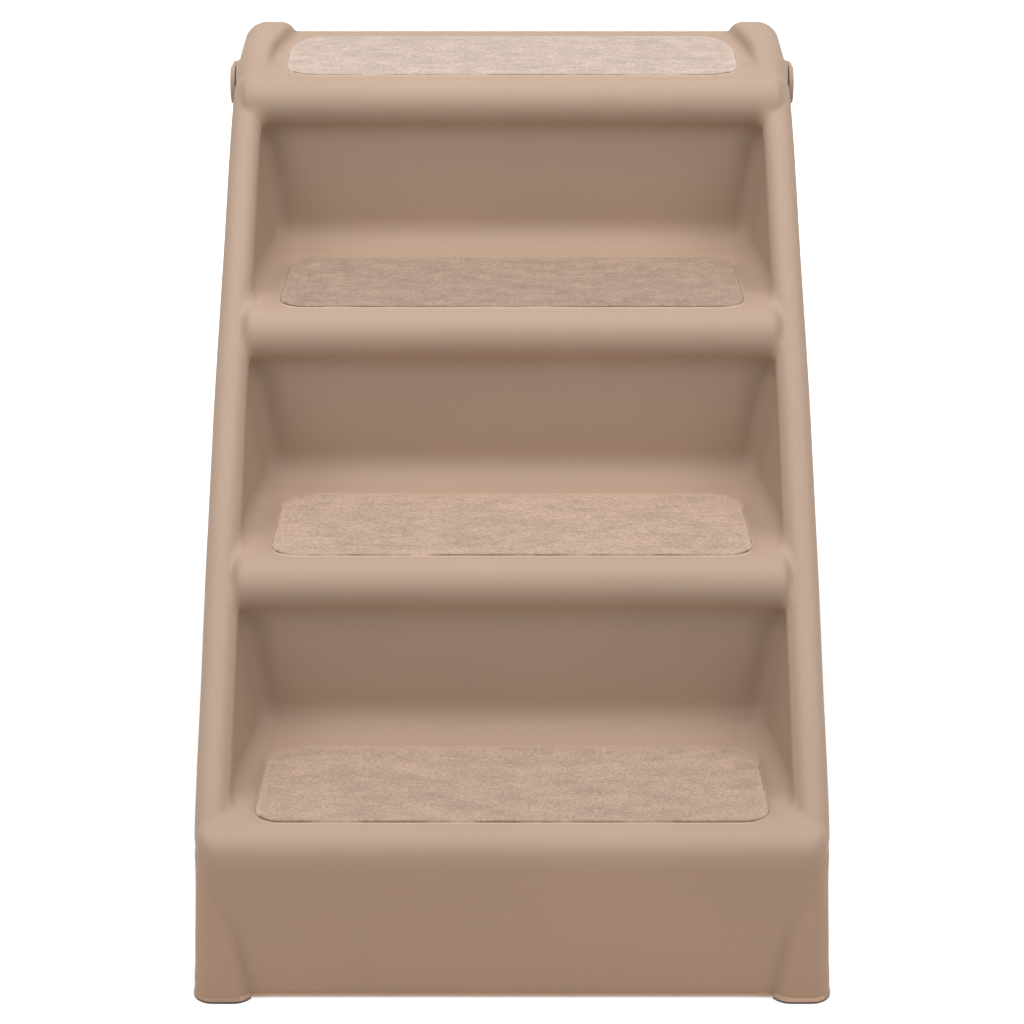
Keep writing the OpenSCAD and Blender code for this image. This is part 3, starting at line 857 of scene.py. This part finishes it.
def pad_rings(k, seed):
    """The rings round an insert's edge, from its backing up to its pile."""
    base = pad_loop(k, 0, PAD_CELL)
    loops = []
    for up, grow in ((PAD_BASE, -0.2), (-0.5, 0.1), (-0.15, -0.1), (PILE_TOP - 0.15, -0.6)):
        loop = []
        for (x, y), (gx, gy) in zip(base, pad_normals(base)):
            over = 0.65 * (1 - ease(-gy, 0.5, 0.9)) if up > -0.4 else 0
            ragged = (0.5 if up > -1 else 0.1) * bumps(x, y, seed, RAGGED_SCALE)
            out = grow + over + ragged
            lift = pile(x, y, seed) * 0.5 if up > -0.3 else 0
            loop.append((x + gx * out, y + gy * out, tread_z(k) + up + lift))
        loops.append(loop)
    return loops


def pad_spots(k):
    """Places of the pile inside the rings, each a little off a regular grid."""
    half = PAD_W[k] / 2
    rng = np.random.default_rng(40 + k)
    spots = []
    for x in np.arange(-half + PAD_CELL, half, PAD_CELL):
        for y in np.arange(pad_front(k) + PAD_CELL, pad_front(k) + PAD_D, PAD_CELL):
            jx, jy = rng.uniform(-0.4, 0.4, 2)
            if pad_depth(k, x + jx, y + jy) > EDGE_CLEAR:
                spots.append((x + jx, y + jy))
    return spots


def make_pad(k):
    """A carpet insert: a dense pile with a soft, slightly ragged edge."""
    seed = 17.3 * (k + 1)
    loops = pad_rings(k, seed)
    points, faces = loft(loops)
    faces.pop()
    ring = loops[-1]
    start = len(points) - len(ring)
    flat = [Vector((p[0], p[1])) for p in ring] + [Vector(p) for p in pad_spots(k)]
    edge = [(i, (i + 1) % len(ring)) for i in range(len(ring))]
    where, _, cells, _, _, _ = delaunay_2d_cdt(flat, edge, [], 1, 1e-5)
    for p in where[len(ring):]:
        depth = pad_depth(k, p.x, p.y)
        lift = PILE_TOP * (1 - math.exp(-depth / PILE_CURL)) + pile(p.x, p.y, seed)
        points.append((p.x, p.y, tread_z(k) + lift))
    first = len(points) - len(where)
    faces += [tuple(start + i if i < len(ring) else first + i for i in f) for f in cells]
    pad = mesh_object(f"carpet_insert_{k + 1}", to_frame(points), faces, "stairs")
    # How much lighter the carpet is near its edge
    mark(pad, "edge", [math.exp(-max(pad_depth(k, p[0], p[1]), 0) / EDGE_LIGHTER) for p in points])
    # Marks where the painted shadow of the front gap lies: the front rings of the edge
    ring_gap = (1.0, 1.0, 1.0, 0.5)
    gaps = [0.0] * len(points)
    for i, p in enumerate(points[:start + len(ring)]):
        gaps[i] = ring_gap[i // len(ring)] * (p[1] < pad_front(k) + 8)
    mark(pad, "gap", gaps)
    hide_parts(f"tread_pad_{k + 1}")
    return pad


def pad_normals(loop):
    """The direction out of a loop at each of its points."""
    count = len(loop)
    result = []
    for i in range(count):
        a = loop[i - 1]
        b = loop[(i + 1) % count]
        tx, ty = b[0] - a[0], b[1] - a[1]
        size = math.hypot(tx, ty)
        result.append((ty / size, -tx / size))
    return result


def pad_depth(k, x, y):
    """How far inside an insert's outline a point lies."""
    front = pad_front(k)
    half = PAD_W[k] / 2 - PAD_TAPER[k] * (y - front) / PAD_D
    rx, ry = (PAD_FRONT_R[k], PAD_FRONT_R[k]) if y < front + PAD_D / 2 else PAD_BACK_R[k]
    u = (abs(x) - half) / rx + 1
    v = (abs(y - front - PAD_D / 2) - PAD_D / 2) / ry + 1
    if u > 0 and v > 0:
        return (1 - math.hypot(u, v)) * min(rx, ry)
    return min((1 - u) * rx, (1 - v) * ry)


# Materials

def linear(color):
    """Linear light of a colour given in 0 to 255."""
    shares = [c / 255 for c in color]
    return tuple(c / 12.92 if c <= 0.04045 else ((c + 0.055) / 1.055) ** 2.4 for c in shares)


class Nodes:
    """A material's node tree, built up by name."""

    def __init__(self, name, roughness, specular=0.5, metallic=0.0):
        self.material = bpy.data.materials.new(name)
        self.material.use_nodes = True
        self.tree = self.material.node_tree
        self.tree.nodes.clear()
        self.out = self.add("ShaderNodeOutputMaterial")
        self.shader = self.add("ShaderNodeBsdfPrincipled")
        self.shader.inputs["Roughness"].default_value = roughness
        self.shader.inputs["Specular IOR Level"].default_value = specular
        self.shader.inputs["Metallic"].default_value = metallic
        self.link(self.shader.outputs[0], self.out.inputs[0])
        self.place = self.add("ShaderNodeTexCoord").outputs["Object"]

    def add(self, kind):
        return self.tree.nodes.new(kind)

    def link(self, a, b):
        self.tree.links.new(a, b)

    def noise(self, scale, detail=2.0, roughness=0.5, stretch=None):
        node = self.add("ShaderNodeTexNoise")
        node.inputs["Scale"].default_value = scale
        node.inputs["Detail"].default_value = detail
        node.inputs["Roughness"].default_value = roughness
        source = self.place
        if stretch:
            mapping = self.add("ShaderNodeMapping")
            mapping.inputs["Scale"].default_value = stretch
            self.link(source, mapping.inputs["Vector"])
            source = mapping.outputs["Vector"]
        self.link(source, node.inputs["Vector"])
        return node.outputs["Fac"]

    def attribute(self, name):
        node = self.add("ShaderNodeAttribute")
        node.attribute_name = name
        return node.outputs["Fac"]

    def ramp(self, source, stops):
        node = self.add("ShaderNodeValToRGB")
        elements = node.color_ramp.elements
        while len(elements) < len(stops):
            elements.new(0.5)
        for element, (at, color) in zip(elements, stops):
            element.position = at
            element.color = (*color, 1)
        self.link(source, node.inputs["Fac"])
        return node.outputs["Color"]

    def math(self, operation, a, b):
        node = self.add("ShaderNodeMath")
        node.operation = operation
        for socket, value in zip(node.inputs, (a, b)):
            if isinstance(value, (int, float)):
                socket.default_value = value
            else:
                self.link(value, socket)
        return node.outputs[0]

    def mix(self, factor, a, b, blend="MIX"):
        node = self.add("ShaderNodeMix")
        node.data_type = "RGBA"
        node.blend_type = blend
        for name, value in (("Factor", factor), ("A", a), ("B", b)):
            socket = node.inputs[name]
            if isinstance(value, (int, float)):
                socket.default_value = value
            elif isinstance(value, tuple):
                socket.default_value = (*value, 1)
            else:
                self.link(value, socket)
        return node.outputs["Result"]

    def bump(self, height, strength, distance, normal=None):
        node = self.add("ShaderNodeBump")
        node.inputs["Strength"].default_value = strength
        node.inputs["Distance"].default_value = distance
        self.link(height, node.inputs["Height"])
        if normal:
            self.link(normal, node.inputs["Normal"])
        return node.outputs["Normal"]


# Colours in 0 to 255, and the factor by which the front panel is tinted as painted shade. The lip colour is
# a painted highlight, the shadow colour a painted shadow, and the carpets' tones differ by a painted sheen.
PLASTIC = (186, 160, 140)
LIP_HIGHLIGHT = (190, 166, 147)
SHADOW = (105, 78, 55)
PANEL_SHADE_TINT = (0.975, 0.885, 0.805)
CARPET_TONES_AND_SHEEN = ((193, 167, 149), (198, 172, 153), (179, 154, 137), (212, 192, 178))


def shade(color, factor):
    """A colour in linear light, made brighter or darker."""
    return tuple(min(c * factor, 1) for c in linear(color))


def plastic_material():
    """Moulded plastic: a little cloudy, finely grained, with a painted highlight on lips and rim, painted
    shade in corners, creases and beside the inserts, and a painted shade tint on the front panel.
    """
    nodes = Nodes("moulded_plastic", roughness=0.62, specular=0.35)
    cloud = nodes.noise(scale=9.0, detail=3.0)
    grain = nodes.noise(scale=900.0, detail=2.0)
    color = nodes.ramp(cloud, [(0.3, shade(PLASTIC, 0.975)), (0.7, shade(PLASTIC, 1.025))])
    color = nodes.mix(nodes.math("MULTIPLY", grain, 0.05), color, shade(PLASTIC, 0.8))
    # Painted highlight on lips and rim
    color = nodes.mix(nodes.attribute("lip"), color, shade(LIP_HIGHLIGHT, 1.3))
    # Painted shade: darker where this mark is high
    color = nodes.mix(nodes.attribute("pocket"), color, shade(PLASTIC, 0.66))
    # Painted shade tint: the front panel browner and darker
    color = nodes.mix(nodes.attribute("panel"), color, PANEL_SHADE_TINT, "MULTIPLY")
    nodes.link(color, nodes.shader.inputs["Base Color"])
    wave = nodes.noise(scale=30.0, detail=2.0)
    normal = nodes.bump(grain, strength=0.25, distance=0.0002)
    normal = nodes.bump(wave, strength=0.15, distance=0.0006, normal=normal)
    nodes.link(normal, nodes.shader.inputs["Normal"])
    return nodes.material


def carpet_material(k):
    """Cut pile whose nap lies a little differently on each tread, shown as a painted sheen that makes each
    tread's carpet a little lighter or darker; lighter along its cut edge, and with a painted shadow in a
    broken line in front."""
    nodes = Nodes(f"carpet_{k + 1}", roughness=0.95, specular=0.1)
    nodes.shader.inputs["Sheen Weight"].default_value = 0.12
    nodes.shader.inputs["Sheen Roughness"].default_value = 0.5
    patch = nodes.noise(scale=48.0, detail=5.0, roughness=0.7, stretch=(1, 2.2, 1))
    tuft = nodes.noise(scale=430.0, detail=3.0, roughness=0.7, stretch=(1, 1.6, 1))
    # Each tread's tone carries its own painted sheen
    color = nodes.ramp(patch, [(0.36, shade(CARPET_TONES_AND_SHEEN[k], 0.88)), (0.64, shade(CARPET_TONES_AND_SHEEN[k], 1.1))])
    dots = nodes.ramp(tuft, [(0.36, (0.58, 0.58, 0.58)), (0.62, (1.1, 1.1, 1.1))])
    color = nodes.mix(0.6, color, dots, "MULTIPLY")
    # Lighter along the cut edge
    lighter_edge = nodes.math("MULTIPLY", nodes.attribute("edge"), 0.5)
    color = nodes.mix(lighter_edge, color, shade(CARPET_TONES_AND_SHEEN[k], 1.2))
    # A painted shadow in a broken line along the front gap
    chance = nodes.noise(scale=28.0, detail=2.0)
    broken = nodes.math("ADD", nodes.math("MULTIPLY", chance, 5.0), -1.6)
    dark = nodes.math("MULTIPLY", nodes.attribute("gap"), nodes.math("MINIMUM", broken, 1.0))
    color = nodes.mix(nodes.math("MAXIMUM", dark, 0.0), color, linear(SHADOW))
    nodes.link(color, nodes.shader.inputs["Base Color"])
    nodes.link(nodes.bump(tuft, strength=0.7, distance=0.0006), nodes.shader.inputs["Normal"])
    return nodes.material


def plain_material(name, color, roughness, specular, metallic, scale, spread, depth, stretch=None):
    """Rubber, steel, nylon or adhesive: fine mottling, a varied roughness and a slight bump."""
    nodes = Nodes(name, roughness, specular, metallic)
    grain = nodes.noise(scale, detail=3.0, roughness=0.6, stretch=stretch)
    color = nodes.ramp(grain, [(0.3, shade(color, 1 - spread)), (0.7, shade(color, 1 + spread))])
    nodes.link(color, nodes.shader.inputs["Base Color"])
    rough = nodes.math("ADD", nodes.math("MULTIPLY", grain, 0.15), roughness - 0.07)
    nodes.link(rough, nodes.shader.inputs["Roughness"])
    nodes.link(nodes.bump(grain, strength=0.3, distance=depth), nodes.shader.inputs["Normal"])
    return nodes.material


def paint(obj, material):
    obj.data.materials.clear()
    obj.data.materials.append(material)


def loop_area(loop):
    """The area inside a loop seen from above."""
    x, y = loop.T
    return abs(np.dot(x, np.roll(y, -1)) - np.dot(y, np.roll(x, -1))) / 2


# Pieces and what they are made of

body = make_body()
leg = make_leg()
pads = [make_pad(k) for k in range(STEP_COUNT)]
for k, pad in enumerate(pads):
    area = loop_area(np.array(pad_loop(k, 0)) * MM)

plastic = plastic_material()
carpets = [carpet_material(k) for k in range(STEP_COUNT)]
rubber = plain_material("rubber", (50, 48, 46), roughness=0.75, specular=0.3, metallic=0.0,
                        scale=700.0, spread=0.12, depth=0.0002)
steel = plain_material("steel", (200, 200, 203), roughness=0.32, specular=0.5, metallic=1.0,
                       scale=500.0, spread=0.06, depth=0.00005, stretch=(1, 14, 14))
nylon = plain_material("nylon", (62, 56, 50), roughness=0.5, specular=0.4, metallic=0.0,
                       scale=400.0, spread=0.03, depth=0.0001)
adhesive = plain_material("adhesive", (236, 234, 224), roughness=0.85, specular=0.2, metallic=0.0,
                          scale=600.0, spread=0.04, depth=0.0001)

for piece in (body, leg):
    paint(piece, plastic)
for piece, carpet in zip(pads, carpets):
    paint(piece, carpet)
FINISHES = {"rubber": rubber, "steel": steel, "nylon": nylon, "adhesive": adhesive,
            "moulded_plastic": plastic, "carpet": carpets[0]}
for part in frame["record"]["subparts"]:
    paint(frame["nodes"][part["node"]], FINISHES[part["material_slot"]])


# Floor, lamps and camera, in metres of the frame, but for UNDER_UP and LENS, which are in millimetres

UNDER_UP = 0.02
FLOOR_HALF = 12.0
WORLD_LIGHT = 0.27
CAMERA_BACK = 1.620
CAMERA_UP = 1.085
CAMERA_DOWN_DEG = 24.82
LENS = 107.79
LAMP_SIZE = (1.6, 1.3)
LAMP_TARGET = (0, 0, 0.25)
LAMPS = (("top", (0, 0, 2.85), 25.0), ("front", (0, -0.673, 2.761), 12.0),
         ("left", (-1.592, -0.919, 2.088), 17.0), ("right", (1.592, -0.919, 2.088), 17.0))


def seen_by_eye(tree):
    """One for what the camera sees straight on, in a mirror or through glass, and nothing for the light."""
    rays = tree.nodes.new("ShaderNodeLightPath").outputs
    total = rays["Is Camera Ray"]
    for name in ("Is Glossy Ray", "Is Transmission Ray"):
        node = tree.nodes.new("ShaderNodeMath")
        node.operation = "MAXIMUM"
        tree.links.new(total, node.inputs[0])
        tree.links.new(rays[name], node.inputs[1])
        total = node.outputs[0]
    return total


def make_floor():
    """A pale floor that the camera sees as white, but for the object's own shadow."""
    size = FLOOR_HALF
    corners = [(-size, -size, 0), (size, -size, 0), (size, size, 0), (-size, size, 0)]
    mesh = bpy.data.meshes.new("floor")
    mesh.from_pydata(corners, [], [(0, 1, 2, 3)])
    floor = bpy.data.objects.new("floor", mesh)
    bpy.context.scene.collection.objects.link(floor)
    nodes = Nodes("floor", roughness=0.9, specular=0.0)
    grain = nodes.noise(3.0)
    color = nodes.ramp(grain, [(0.0, (0.80, 0.80, 0.80)), (1.0, (0.82, 0.82, 0.82))])
    nodes.link(color, nodes.shader.inputs["Base Color"])
    away = nodes.add("ShaderNodeVectorMath")
    away.operation = "LENGTH"
    nodes.link(nodes.place, away.inputs[0])
    far = nodes.add("ShaderNodeMapRange")
    for name, value in (("From Min", 0.5), ("From Max", 1.5), ("To Min", 0.5), ("To Max", 1.0)):
        far.inputs[name].default_value = value
    nodes.link(away.outputs["Value"], far.inputs["Value"])
    glow = nodes.math("MULTIPLY", seen_by_eye(nodes.tree), far.outputs["Result"])
    nodes.shader.inputs["Emission Color"].default_value = (1, 1, 1, 1)
    nodes.link(glow, nodes.shader.inputs["Emission Strength"])
    floor.data.materials.append(nodes.material)


def make_under_shadow():
    """The floor right under the two posts: real shade, and also painted a darker grey than the rest of the
    floor, without its glow.
    """
    nodes = Nodes("floor_under_painted_shadow", roughness=0.9, specular=0.0)
    shadow_grey = [(0.0, (0.5, 0.5, 0.5)), (1.0, (0.55, 0.55, 0.55))]
    nodes.link(nodes.ramp(nodes.noise(3.0), shadow_grey), nodes.shader.inputs["Base Color"])
    for sign in (1, -1):
        outline = [(x, y, UNDER_UP) for x, y in rim_path() if x * sign > POST_IN_X - 1]
        under = mesh_object("floor_under_painted_shadow", to_frame(outline), [tuple(range(len(outline)))])
        paint(under, nodes.material)


def make_lamp(name, place, power):
    data = bpy.data.lights.new(name, "AREA")
    data.shape = "RECTANGLE"
    data.size, data.size_y = LAMP_SIZE
    data.energy = power
    lamp = bpy.data.objects.new(name, data)
    lamp.location = place
    lamp.rotation_euler = (Vector(LAMP_TARGET) - Vector(place)).to_track_quat("-Z", "Y").to_euler()
    bpy.context.scene.collection.objects.link(lamp)


def make_world():
    """White all round for the eye, and a weaker light for everything else."""
    world = bpy.data.worlds.new("studio")
    world.use_nodes = True
    bpy.context.scene.world = world
    background = world.node_tree.nodes["Background"]
    background.inputs["Color"].default_value = (1, 1, 1, 1)
    glow = world.node_tree.nodes.new("ShaderNodeMath")
    glow.operation = "MAXIMUM"
    world.node_tree.links.new(seen_by_eye(world.node_tree), glow.inputs[0])
    glow.inputs[1].default_value = WORLD_LIGHT
    world.node_tree.links.new(glow.outputs[0], background.inputs["Strength"])


def make_camera():
    data = bpy.data.cameras.new("camera")
    data.sensor_width = 36.0
    data.lens = LENS
    data.clip_end = 50.0
    camera = bpy.data.objects.new("camera", data)
    camera.location = (0, -CAMERA_BACK - MIDDLE_Y * MM, CAMERA_UP)
    camera.rotation_euler = (math.radians(90 - CAMERA_DOWN_DEG), 0, 0)
    bpy.context.scene.collection.objects.link(camera)
    bpy.context.scene.camera = camera


make_floor()
make_under_shadow()
make_world()
for name, place, power in LAMPS:
    make_lamp(name, place, power)
make_camera()
bpy.context.scene.view_settings.view_transform = "Standard"
